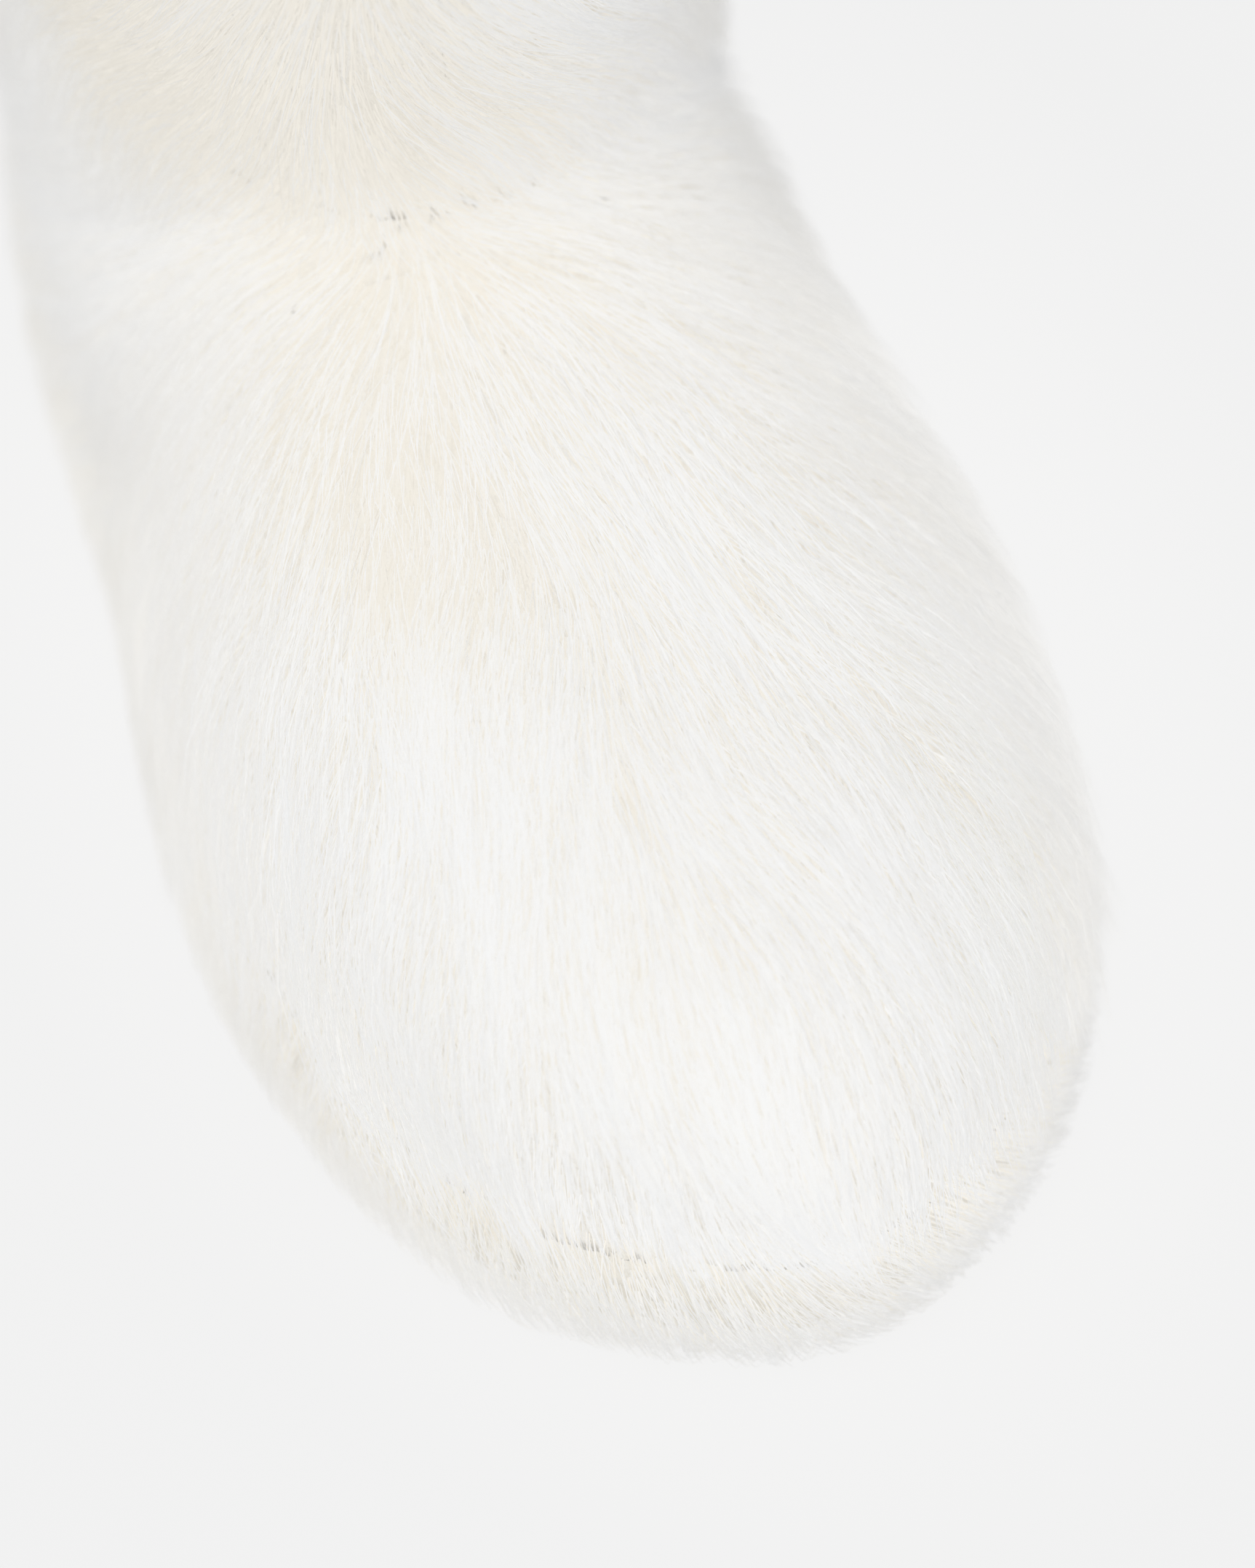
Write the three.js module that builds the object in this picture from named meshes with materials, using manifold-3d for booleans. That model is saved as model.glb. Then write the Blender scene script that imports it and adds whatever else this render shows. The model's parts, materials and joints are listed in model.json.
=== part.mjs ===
// An ankle-high, closed-toe house slipper for the right foot, in long artificial fur on a fur-wrapped platform sole.
// Millimetres. +Z is up, the toe points to -Y, and +X is the inner (big-toe) side of the foot.
// The origin is on the ground, under the middle of the slipper's length.

import * as THREE from 'three';
import { mergeVertices } from 'three/addons/utils/BufferGeometryUtils.js';
import Module from 'manifold-3d';

const wasm = await Module();
wasm.setup();

// ---- driving dimensions ----

const LENGTH = 282;
const BALL_WIDTH = 128;
const WAIST_WIDTH = 112;
const HEEL_WIDTH = 108;
const INNER_SWING = 2.5; // the ball stands this much further out on the big-toe side

const TREAD_THICK = 3.5;
const MIDSOLE_THICK = 17.5;
const BOARD_THICK = 1.2;
const FOOTBED_THICK = 5;
const SOCK_THICK = 2.6;
const GAP = 0.3; // clearance left between neighbouring pieces

const BAND_THICK = 9; // fur strip wrapped round the sole's edge
const BAND_BULGE = 2; // how far the strip's middle stands out past its edges
const BAND_GROUND_CLEARANCE = 1.5;

const FUR_THICK = 8.5; // fur fabric with its pile lying flat
const FOAM_THICK = 2.4;
const LINING_THICK = 3;
const UPPER_INSET = 4; // the upper's foot starts this far inside the band's outer face

const TOE_TOP = 61.5; // height of the fur's top over the toes
const CREASE_TOP = 90; // and at the crease where the shaft starts
const CREASE_FROM_TOE = 147;
const SHAFT_TOP = 150;
const SHAFT_HALF_WIDTH = 51;
const SHAFT_NARROWING = 5; // the shaft is this much slimmer at its top
const ANKLE_TUCK = 5.5; // and narrower at its foot, where it stays inside the foot part
const ANKLE_TUCK_TOP = 72;
const SHAFT_LEAN_BACK = 4;

const FLEX_FROM_TOE = 91; // the ball of the foot, where the sole bends
const SIDE_SEAM_TOP_FROM_TOE = 150; // vamp and quarters meet along a slanted seam
const SIDE_SEAM_FOOT_FROM_TOE = 118;

// ---- derived places ----

const TOE_Y = -LENGTH / 2;
const HEEL_Y = LENGTH / 2;
const FLEX_Y = TOE_Y + FLEX_FROM_TOE;
const CREASE_Y = TOE_Y + CREASE_FROM_TOE;
const MIDSOLE_TOP = TREAD_THICK + MIDSOLE_THICK;
const BOARD_TOP = MIDSOLE_TOP + GAP + BOARD_THICK;
const UPPER_FOOT = BOARD_TOP + GAP;
const FOOTBED_TOP = UPPER_FOOT + FOOTBED_THICK;
const SHAFT_BACK_Y = HEEL_Y - UPPER_INSET - 0.5;
const SHAFT_MID_Y = (CREASE_Y + SHAFT_BACK_Y) / 2;
const SHAFT_HALF_LENGTH = (SHAFT_BACK_Y - CREASE_Y) / 2;
const FOAM_INSET = FUR_THICK + GAP;
const LINING_INSET = FOAM_INSET + FOAM_THICK + GAP;
const CAVITY_INSET = LINING_INSET + LINING_THICK;

const OUTLINE_STEPS = 32;
const DOME_LEVELS = 7;
const SHAFT_STEPS = 24;
const SHAFT_LEVELS = 5;
const STITCH_STEPS = 64;

// ---- solids: closed meshes, cuts and joins ----

function solidFrom(geometry) {
  const bare = geometry.clone();
  bare.deleteAttribute('normal');
  bare.deleteAttribute('uv');
  const merged = mergeVertices(bare, 1e-4);
  return new wasm.Manifold(new wasm.Mesh({
    numProp: 3,
    vertProperties: new Float32Array(merged.attributes.position.array),
    triVerts: new Uint32Array(merged.index.array),
  }));
}

function geometryFrom(solid) {
  const mesh = solid.getMesh();
  const geometry = new THREE.BufferGeometry();
  geometry.setAttribute('position', new THREE.BufferAttribute(new Float32Array(mesh.vertProperties), 3));
  geometry.setIndex(new THREE.BufferAttribute(new Uint32Array(mesh.triVerts), 1));
  geometry.computeVertexNormals();
  return geometry;
}

// A closed solid through a stack of rings of equal length. A fan closes each end, or, where the last ring has
// closed up to a ridge, a strip that joins its two sides across the ridge.
function loft(rings, endsInRidge = false) {
  const count = rings[0].length;
  const points = rings.flat();
  const index = [];
  for (let level = 0; level + 1 < rings.length; level += 1) {
    for (let i = 0; i < count; i += 1) {
      const a = level * count + i;
      const b = level * count + ((i + 1) % count);
      index.push(a, b, b + count, a, b + count, a + count);
    }
  }
  const closeEnd = (start, flip) => {
    const centre = new THREE.Vector3();
    for (let i = 0; i < count; i += 1) centre.addScaledVector(points[start + i], 1 / count);
    const hub = points.push(centre) - 1;
    for (let i = 0; i < count; i += 1) {
      const a = start + i;
      const b = start + ((i + 1) % count);
      index.push(hub, flip ? b : a, flip ? a : b);
    }
  };
  const closeRidge = (start) => {
    for (let i = 0; i < count / 2; i += 1) {
      const a = start + i;
      const b = start + i + 1;
      const c = start + ((count - i - 1) % count);
      const d = start + ((count - i) % count);
      if (b !== c) index.push(a, b, c);
      if (a !== d) index.push(a, c, d);
    }
  };
  closeEnd(0, true);
  if (endsInRidge) closeRidge((rings.length - 1) * count);
  else closeEnd((rings.length - 1) * count, false);
  const geometry = new THREE.BufferGeometry().setFromPoints(points);
  geometry.setIndex(index);
  return solidFrom(geometry);
}

function block(xRange, yRange, zRange) {
  const geometry = new THREE.BoxGeometry(xRange[1] - xRange[0], yRange[1] - yRange[0], zRange[1] - zRange[0]);
  geometry.translate((xRange[0] + xRange[1]) / 2, (yRange[0] + yRange[1]) / 2, (zRange[0] + zRange[1]) / 2);
  return solidFrom(geometry);
}

const FAR = 400;

// ---- the sole's outline ----

// Anticlockwise from above, from the tip of the toe round the inner side to the heel and back.
function outlineCurve() {
  const inner = BALL_WIDTH / 2 + INNER_SWING;
  const outer = BALL_WIDTH / 2 - INNER_SWING;
  const waist = WAIST_WIDTH / 2;
  const heel = HEEL_WIDTH / 2;
  const fromToe = (x, distance) => new THREE.Vector3(x, TOE_Y + distance, 0);
  return new THREE.CatmullRomCurve3([
    fromToe(6, 0),
    fromToe(0.58 * inner, 13),
    fromToe(0.9 * inner, 42),
    fromToe(inner, 86),
    fromToe(waist + INNER_SWING, 142),
    fromToe(heel, 205),
    fromToe(0.8 * heel, 254),
    fromToe(0.38 * heel, LENGTH - 5),
    fromToe(0, LENGTH),
    fromToe(-0.38 * heel, LENGTH - 5),
    fromToe(-0.8 * heel, 254),
    fromToe(-heel, 205),
    fromToe(-waist, 150),
    fromToe(-outer, 98),
    fromToe(-0.88 * outer, 52),
    fromToe(-0.55 * outer, 18),
  ], true, 'centripetal');
}

const OUTLINE = outlineCurve();

// The outline moved inwards by a distance, as points at one height.
function outlineRing(inset, z) {
  const ring = [];
  for (let i = 0; i < OUTLINE_STEPS; i += 1) {
    const t = i / OUTLINE_STEPS;
    const point = OUTLINE.getPointAt(t);
    const along = OUTLINE.getTangentAt(t);
    ring.push(new THREE.Vector3(point.x - along.y * inset, point.y + along.x * inset, z));
  }
  return ring;
}

function slab(inset, zLow, zHigh) {
  return loft([outlineRing(inset, zLow), outlineRing(inset, zHigh)]);
}

// ---- the upper's inner and outer skins ----

const smooth = (value, low, high) => THREE.MathUtils.smoothstep(value, low, high);

// Height of the fur's outer skin along the top of the foot.
function ridgeHeight(y) {
  const rise = smooth(y, TOE_Y + 10, CREASE_Y + 20);
  return TOE_TOP + (CREASE_TOP - TOE_TOP) * rise;
}

// The foot part, from its flat base up to a rounded ridge, with its skin moved inwards by inset.
function footSkin(inset) {
  const rings = [];
  const halfWidth = BALL_WIDTH / 2 - UPPER_INSET;
  const halfLength = LENGTH / 2 - UPPER_INSET;
  const base = outlineRing(UPPER_INSET + inset, 0);
  for (let level = 0; level <= DOME_LEVELS; level += 1) {
    const angle = (Math.PI / 2) * (level / DOME_LEVELS);
    const across = Math.max(0.03, Math.cos(angle) ** 0.64);
    const along = 1 - (1 - across) * (halfWidth / halfLength);
    const up = Math.sin(angle);
    const bulge = 1 + 0.035 * Math.sin(2 * angle);
    rings.push(base.map((p) => {
      const y = p.y * along;
      const top = ridgeHeight(y) - inset;
      return new THREE.Vector3(p.x * across * bulge, y, UPPER_FOOT + (top - UPPER_FOOT) * up);
    }));
  }
  return loft(rings, true);
}

// The shaft, an oval tube that starts inside the foot part and runs past its own top edge.
function shaftSkin(inset, zTop = SHAFT_TOP) {
  const rings = [];
  for (let level = 0; level <= SHAFT_LEVELS; level += 1) {
    const height = level / SHAFT_LEVELS;
    const z = UPPER_FOOT + (zTop - UPPER_FOOT) * height;
    const tuck = ANKLE_TUCK * (1 - smooth(z, UPPER_FOOT, ANKLE_TUCK_TOP));
    const slim = SHAFT_NARROWING * smooth(z, CREASE_TOP, SHAFT_TOP);
    const halfWidth = SHAFT_HALF_WIDTH - tuck - slim - inset;
    const halfLength = SHAFT_HALF_LENGTH - slim - inset;
    const middle = SHAFT_MID_Y + SHAFT_LEAN_BACK * (smooth(z, UPPER_FOOT, SHAFT_TOP) - 0.5);
    const ring = [];
    for (let i = 0; i < SHAFT_STEPS; i += 1) {
      const angle = (2 * Math.PI * i) / SHAFT_STEPS;
      ring.push(new THREE.Vector3(halfWidth * Math.sin(angle), middle - halfLength * Math.cos(angle), z));
    }
    rings.push(ring);
  }
  return loft(rings);
}

// One layer of the upper, between two insets, as the whole bootie.
function layer(outerInset, innerInset) {
  const outer = footSkin(outerInset).add(shaftSkin(outerInset));
  const inner = footSkin(innerInset).add(shaftSkin(innerInset, SHAFT_TOP + 5));
  const below = block([-FAR, FAR], [-FAR, FAR], [UPPER_FOOT - 5, UPPER_FOOT + 0.01]);
  const throughFloor = footSkin(innerInset).intersect(
    block([-FAR, FAR], [-FAR, FAR], [UPPER_FOOT, UPPER_FOOT + 2]),
  ).translate([0, 0, -1.5]);
  return outer.subtract(inner).subtract(throughFloor).subtract(below);
}

// ---- cutting a layer into its panels ----

// A plane's far side as a thick block: everything towards +Y of a seam that slants from its foot to its top.
function behindSideSeam(shift) {
  const foot = TOE_Y + SIDE_SEAM_FOOT_FROM_TOE + shift;
  const top = TOE_Y + SIDE_SEAM_TOP_FROM_TOE + shift;
  const slope = (top - foot) / (CREASE_TOP - UPPER_FOOT);
  const low = UPPER_FOOT - 40;
  const high = SHAFT_TOP + 60;
  const at = (z) => foot + slope * (z - UPPER_FOOT);
  const corner = (x, z) => new THREE.Vector3(x, at(z), z);
  const back = (x, z) => new THREE.Vector3(x, FAR, z);
  return loft([
    [corner(-FAR, low), corner(FAR, low), back(FAR, low), back(-FAR, low)],
    [corner(-FAR, high), corner(FAR, high), back(FAR, high), back(-FAR, high)],
  ]);
}

// The shaft's own space above the line where it leaves the foot: level at the sides, at the crease in front.
const SHAFT_SEAM_FRONT = CREASE_TOP + 0.5;
const SHAFT_SEAM_BACK = CREASE_TOP + 4;

function aboveShaftSeam(shift) {
  const at = (y) => {
    const share = (y - CREASE_Y) / (SHAFT_BACK_Y - CREASE_Y);
    return SHAFT_SEAM_FRONT + (SHAFT_SEAM_BACK - SHAFT_SEAM_FRONT) * share + shift;
  };
  const high = SHAFT_TOP + 60;
  const front = CREASE_Y - 0.6;
  const bottom = (x, y) => new THREE.Vector3(x, y, at(y));
  const top = (x, y) => new THREE.Vector3(x, y, high);
  return loft([
    [bottom(-FAR, front), bottom(FAR, front), bottom(FAR, FAR), bottom(-FAR, FAR)],
    [top(-FAR, front), top(FAR, front), top(FAR, FAR), top(-FAR, FAR)],
  ]);
}

const HALF_GAP = GAP / 2;
const innerSide = () => block([HALF_GAP, FAR], [-FAR, FAR], [-FAR, FAR]);
const outerSide = () => block([-FAR, -HALF_GAP], [-FAR, FAR], [-FAR, FAR]);

function shaftPart(whole) {
  return whole.intersect(aboveShaftSeam(HALF_GAP));
}

function vampPart(whole) {
  return whole.subtract(aboveShaftSeam(-HALF_GAP)).subtract(behindSideSeam(-HALF_GAP));
}

function quarterPart(whole) {
  return whole.subtract(aboveShaftSeam(-HALF_GAP)).intersect(behindSideSeam(HALF_GAP));
}

// ---- materials ----

const finish = (color, roughness) => new THREE.MeshStandardMaterial({ color, roughness, metalness: 0 });
const FUR = finish(0xf4f2ee, 0.95);
const BAND_FUR = finish(0xf1eee6, 0.95);
const FOAM = finish(0xf2ecd8, 0.9);
const PLUSH = finish(0xf3ede2, 0.95);
const BOARD = finish(0xcdbd9e, 0.85);
const EVA = finish(0xf5f4f1, 0.7);
const RUBBER = finish(0xd9d2c4, 0.6);
const STIFFENER = finish(0xe6e1d5, 0.6);
const KNIT = finish(0xefe9dd, 0.9);
const WEBBING = finish(0xe9e1d0, 0.85);
const THREAD = finish(0xefe6cf, 0.8);
const LABEL = finish(0xfafafa, 0.6);

const slipper = new THREE.Group();
slipper.name = 'slipper';

function addPiece(name, solid, material) {
  const mesh = new THREE.Mesh(geometryFrom(solid), material);
  mesh.name = name;
  slipper.add(mesh);
}

// ---- sole ----

const TREAD_INSET = 11;
const SIPE_DEPTH = 1.4;
const SIPE_WIDTH = 2.6;
const SIPE_PITCH = 9;

// A rubber pad under part of the sole, with shallow grooves running across its underside.
function treadPad(fromToe, toToe) {
  const yLow = TOE_Y + fromToe;
  const yHigh = TOE_Y + toToe;
  const within = block([-FAR, FAR], [yLow, yHigh], [-1, TREAD_THICK + 1]);
  let pad = slab(TREAD_INSET, 0, TREAD_THICK - GAP).intersect(within);
  for (let y = yLow + SIPE_PITCH; y < yHigh - SIPE_PITCH / 2; y += SIPE_PITCH) {
    const clearOfOrigin = Math.abs(y) > SIPE_WIDTH;
    if (clearOfOrigin) {
      pad = pad.subtract(block([-FAR, FAR], [y - SIPE_WIDTH / 2, y + SIPE_WIDTH / 2], [-1, SIPE_DEPTH]));
    }
  }
  return pad;
}

function midsoleBand() {
  const low = BAND_GROUND_CLEARANCE;
  const high = UPPER_FOOT - GAP;
  const middle = (low + high) / 2;
  const outer = loft([
    outlineRing(BAND_BULGE, low),
    outlineRing(0.4, (low + middle) / 2),
    outlineRing(0, middle),
    outlineRing(0.4, (high + middle) / 2),
    outlineRing(BAND_BULGE, high),
  ]);
  return outer.subtract(slab(BAND_THICK, low - 1, high + 1));
}

const MIDSOLE_INSET = BAND_THICK + GAP;
const FOOTBED_INSET = UPPER_INSET + CAVITY_INSET + 1.6;
const SOCK_INSET = FOOTBED_INSET + 2.2; // the lining closes in over the bed, so the top sheet is narrower

function addSole() {
  addPiece('toe_tread', treadPad(11, FLEX_FROM_TOE - 1.5), RUBBER);
  addPiece('ball_tread', treadPad(FLEX_FROM_TOE + 1.5, 158), RUBBER);
  addPiece('heel_tread', treadPad(182, LENGTH - 10), RUBBER);
  addPiece('midsole', slab(MIDSOLE_INSET, TREAD_THICK, MIDSOLE_TOP), EVA);
  addPiece('midsole_fur_band', midsoleBand(), BAND_FUR);
  const board = slab(MIDSOLE_INSET, MIDSOLE_TOP + GAP, BOARD_TOP);
  const boardBreak = FLEX_Y + 14; // the stiff board stops behind the ball, and a soft sock cloth runs on to the toe
  const front = block([-FAR, FAR], [-FAR, boardBreak - HALF_GAP], [-FAR, FAR]);
  const rear = block([-FAR, FAR], [boardBreak + HALF_GAP, FAR], [-FAR, FAR]);
  addPiece('shank_board', board.intersect(rear), BOARD);
  addPiece('forefoot_sock_cloth', board.intersect(front), KNIT);
  addPiece('memory_foam_footbed', slab(FOOTBED_INSET, UPPER_FOOT, FOOTBED_TOP), FOAM);
  addPiece('plush_sock_liner', slab(SOCK_INSET, FOOTBED_TOP + GAP, FOOTBED_TOP + GAP + SOCK_THICK), PLUSH);
}

// ---- upper ----

// Stiffeners lie between the foam and the lining, and the lining is hollowed to make room for them.
const STIFFENER_THICK = 1.2;
const COUNTER_TOP = 66;
const COUNTER_FROM_TOE = 212;
const PUFF_TOP = 47;
const PUFF_TO_TOE = 40;

function stiffenerShell(zone) {
  return layer(LINING_INSET, LINING_INSET + STIFFENER_THICK).intersect(zone);
}

function heelZone(grow) {
  return block([-FAR, FAR], [TOE_Y + COUNTER_FROM_TOE - grow, FAR], [-FAR, COUNTER_TOP + grow]);
}

function toeZone(grow) {
  return block([-FAR, FAR], [-FAR, TOE_Y + PUFF_TO_TOE + grow], [-FAR, PUFF_TOP + grow]);
}

function addUpper() {
  const fur = layer(0, FUR_THICK);
  const foam = layer(FOAM_INSET, FOAM_INSET + FOAM_THICK);
  const stiffenerRoom = layer(LINING_INSET - 0.1, LINING_INSET + STIFFENER_THICK + GAP);
  const lining = layer(LINING_INSET, CAVITY_INSET)
    .subtract(stiffenerRoom.intersect(heelZone(GAP)))
    .subtract(stiffenerRoom.intersect(toeZone(GAP)));
  addPiece('vamp_fur', vampPart(fur), FUR);
  addPiece('quarter_fur_inner', quarterPart(fur).intersect(innerSide()), FUR);
  addPiece('quarter_fur_outer', quarterPart(fur).intersect(outerSide()), FUR);
  addPiece('shaft_fur_inner', shaftPart(fur).intersect(innerSide()), FUR);
  addPiece('shaft_fur_outer', shaftPart(fur).intersect(outerSide()), FUR);
  addPiece('vamp_foam', vampPart(foam), FOAM);
  addPiece('quarter_foam', quarterPart(foam), FOAM);
  addPiece('shaft_foam', shaftPart(foam), FOAM);
  addPiece('vamp_lining', vampPart(lining), PLUSH);
  addPiece('quarter_lining', quarterPart(lining), PLUSH);
  addPiece('shaft_lining', shaftPart(lining), PLUSH);
  addPiece('heel_counter', stiffenerShell(heelZone(0)), STIFFENER);
  addPiece('toe_puff', stiffenerShell(toeZone(0)), STIFFENER);
}

// ---- collar, loop, label and stitching ----

const COLLAR_HEIGHT = 9;
const COLLAR_THICK = CAVITY_INSET - 3;

// A soft rolled edge that closes the top of all the shaft's layers.
function collarBinding() {
  const low = SHAFT_TOP + GAP;
  const rings = (inset) => {
    const base = [];
    for (let i = 0; i < SHAFT_STEPS; i += 1) base.push((2 * Math.PI * i) / SHAFT_STEPS);
    const ring = (extra, z) => base.map((angle) => new THREE.Vector3(
      (SHAFT_HALF_WIDTH - SHAFT_NARROWING - inset - extra) * Math.sin(angle),
      SHAFT_MID_Y + SHAFT_LEAN_BACK / 2
        - (SHAFT_HALF_LENGTH - SHAFT_NARROWING - inset - extra) * Math.cos(angle),
      z,
    ));
    return ring;
  };
  const outer = rings(1);
  const inner = rings(1 + COLLAR_THICK);
  const body = loft([
    outer(0, low),
    outer(0, low + COLLAR_HEIGHT * 0.45),
    outer(COLLAR_THICK * 0.18, low + COLLAR_HEIGHT * 0.85),
    outer(COLLAR_THICK * 0.4, low + COLLAR_HEIGHT),
  ]);
  const hole = loft([
    inner(0, low - 1),
    inner(0, low + COLLAR_HEIGHT * 0.45),
    inner(-COLLAR_THICK * 0.18, low + COLLAR_HEIGHT * 0.85),
    inner(-COLLAR_THICK * 0.4 - 0.5, low + COLLAR_HEIGHT + 1),
  ]);
  return body.subtract(hole);
}

const LOOP_WIDTH = 14;
const LOOP_HEIGHT = 24;
const LOOP_THICK = 1.6;
const LOOP_SPREAD = 9; // distance between the loop's two legs, front to back
const COLLAR_TOP = SHAFT_TOP + GAP + COLLAR_HEIGHT;
const LOOP_Y = SHAFT_BACK_Y - SHAFT_NARROWING + SHAFT_LEAN_BACK / 2 - 1 - COLLAR_THICK / 2;

// A folded strip of webbing standing on the collar at the back, like an upside-down U seen from the side.
function pullLoop() {
  const foot = COLLAR_TOP + GAP;
  const outerRadius = LOOP_SPREAD / 2;
  const innerRadius = outerRadius - LOOP_THICK;
  const shape = new THREE.Shape();
  const springLine = LOOP_HEIGHT - outerRadius;
  shape.moveTo(-outerRadius, 0);
  shape.lineTo(-innerRadius, 0);
  shape.lineTo(-innerRadius, springLine);
  shape.absarc(0, springLine, innerRadius, Math.PI, 0, true);
  shape.lineTo(innerRadius, 0);
  shape.lineTo(outerRadius, 0);
  shape.lineTo(outerRadius, springLine);
  shape.absarc(0, springLine, outerRadius, 0, Math.PI, false);
  shape.closePath();
  const geometry = new THREE.ExtrudeGeometry(shape, { depth: LOOP_WIDTH, bevelEnabled: false, curveSegments: 8 });
  geometry.rotateX(Math.PI / 2);
  geometry.rotateZ(Math.PI / 2);
  geometry.translate(-LOOP_WIDTH / 2, LOOP_Y, foot);
  return solidFrom(geometry);
}

const LABEL_WIDTH = 22;
const LABEL_HEIGHT = 28;
const LABEL_THICK = 0.6;
const LABEL_DROP = 20; // below the top of the shaft

// A blank folded label standing off the lining on the outer side of the ankle.
function careLabel() {
  const wallX = -(SHAFT_HALF_WIDTH - SHAFT_NARROWING - CAVITY_INSET);
  const stand = 2; // the curved wall comes this far in behind the flat label's edges
  return block(
    [wallX + stand, wallX + stand + LABEL_THICK],
    [SHAFT_MID_Y - LABEL_WIDTH / 2, SHAFT_MID_Y + LABEL_WIDTH / 2],
    [SHAFT_TOP - LABEL_DROP - LABEL_HEIGHT, SHAFT_TOP - LABEL_DROP],
  );
}

// The lockstitch that joins the upper's foot to the band, as one closed cord in the groove between them.
function featherStitching() {
  const radius = 0.7;
  const ring = outlineRing(UPPER_INSET - 2 * radius - 0.5, UPPER_FOOT + radius + 0.1);
  const path = new THREE.CatmullRomCurve3(ring, true);
  const section = new THREE.Shape().absarc(0, 0, radius, 0, 2 * Math.PI, false);
  const geometry = new THREE.ExtrudeGeometry(section, {
    steps: STITCH_STEPS,
    curveSegments: 2,
    bevelEnabled: false,
    extrudePath: path,
  });
  return solidFrom(geometry);
}

addSole();
addUpper();
addPiece('collar_binding', collarBinding(), KNIT);
addPiece('heel_pull_loop', pullLoop(), WEBBING);
addPiece('care_label', careLabel(), LABEL);
addPiece('feather_line_stitching', featherStitching(), THREAD);

export default slipper;
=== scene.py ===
"""A fluffy, ankle-high, closed-toe house slipper for the right foot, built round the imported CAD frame.

Metres, +Z up, toe towards -Y. Each fur panel is a soft backing under a pile of separate tapered hairs.
"""

import json
import math

import bmesh
import bpy
import numpy as np
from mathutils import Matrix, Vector, kdtree
from mathutils.bvhtree import BVHTree

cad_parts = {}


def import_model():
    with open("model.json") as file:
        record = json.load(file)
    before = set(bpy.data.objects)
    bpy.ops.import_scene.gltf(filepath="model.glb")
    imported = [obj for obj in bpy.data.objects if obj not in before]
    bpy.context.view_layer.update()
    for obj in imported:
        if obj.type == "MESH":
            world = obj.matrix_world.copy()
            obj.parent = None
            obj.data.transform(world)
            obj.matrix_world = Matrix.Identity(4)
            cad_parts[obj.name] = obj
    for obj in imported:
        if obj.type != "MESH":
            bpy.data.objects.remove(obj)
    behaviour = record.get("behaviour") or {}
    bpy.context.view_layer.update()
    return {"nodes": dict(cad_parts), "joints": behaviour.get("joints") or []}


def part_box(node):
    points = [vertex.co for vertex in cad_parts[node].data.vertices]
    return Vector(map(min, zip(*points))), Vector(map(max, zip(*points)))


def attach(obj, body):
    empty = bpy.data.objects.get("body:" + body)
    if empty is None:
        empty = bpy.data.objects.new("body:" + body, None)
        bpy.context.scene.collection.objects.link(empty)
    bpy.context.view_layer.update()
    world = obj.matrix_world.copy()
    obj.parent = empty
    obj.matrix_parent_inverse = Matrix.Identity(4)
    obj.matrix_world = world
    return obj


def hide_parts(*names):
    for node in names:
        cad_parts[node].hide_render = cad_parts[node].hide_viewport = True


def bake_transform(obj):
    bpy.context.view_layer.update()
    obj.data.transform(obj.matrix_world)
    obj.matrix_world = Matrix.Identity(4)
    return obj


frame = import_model()

MM = 0.001
RNG = np.random.default_rng(20)

# ---- places read from the frame ----

FUR_NODES = ("vamp_fur", "quarter_fur_inner", "quarter_fur_outer", "shaft_fur_inner", "shaft_fur_outer")
BAND_NODE = "midsole_fur_band"


def low_high(node):
    low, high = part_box(node)
    return np.array(low), np.array(high)


SHAFT_LOW, SHAFT_HIGH = low_high("shaft_fur_inner")
BAND_LOW, BAND_HIGH = low_high(BAND_NODE)
COLLAR_LOW, COLLAR_HIGH = low_high("collar_binding")
UPPER_FOOT = low_high("vamp_fur")[0][2]
TOE_Y = BAND_LOW[1]
HEEL_Y = BAND_HIGH[1]
CREASE_Y = SHAFT_LOW[1]
CREASE_TOP = SHAFT_LOW[2]
JOINTS = {joint["name"]: joint for joint in frame["joints"]}
FLEX_Y = JOINTS["ball_flex"]["pos_m"][1]

# Two stations round the ball's flex line, for the sole and vamp, and two heights above the crease, for the
# shaft's cloth.
FLEX_AHEAD, FLEX_BEHIND = 40 * MM, 32 * MM
LEAN_STARTS, LEAN_ENDS = 2 * MM, 36 * MM
FLEX_FRONT = (0.0, FLEX_Y - FLEX_AHEAD, 0.0)
FLEX_REAR = (0.0, FLEX_Y + FLEX_BEHIND, 0.0)
LEAN_FOOT = (0.0, 0.0, CREASE_TOP + LEAN_STARTS)
LEAN_TOP = (0.0, 0.0, CREASE_TOP + LEAN_ENDS)


def ramp(value, low, high):
    t = np.clip((value - low) / (high - low), 0, 1)
    return t * t * (3 - 2 * t)


def unit(vectors):
    return vectors / np.maximum(np.linalg.norm(vectors, axis=-1, keepdims=True), 1e-12)


# ---- mesh helpers ----

def link(name, mesh):
    piece = bpy.data.objects.new(name, mesh)
    bpy.context.scene.collection.objects.link(piece)
    return piece


def make_object(name, vertices, faces):
    mesh = bpy.data.meshes.new(name)
    mesh.from_pydata([tuple(v) for v in vertices], [], [tuple(f) for f in faces])
    mesh.update()
    mesh.shade_smooth()
    return link(name, mesh)


def apply_modifiers(piece):
    graph = bpy.context.evaluated_depsgraph_get()
    mesh = bpy.data.meshes.new_from_object(piece.evaluated_get(graph))
    piece.modifiers.clear()
    old = piece.data
    piece.data = mesh
    bpy.data.meshes.remove(old)
    mesh.name = piece.name
    return piece


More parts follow.
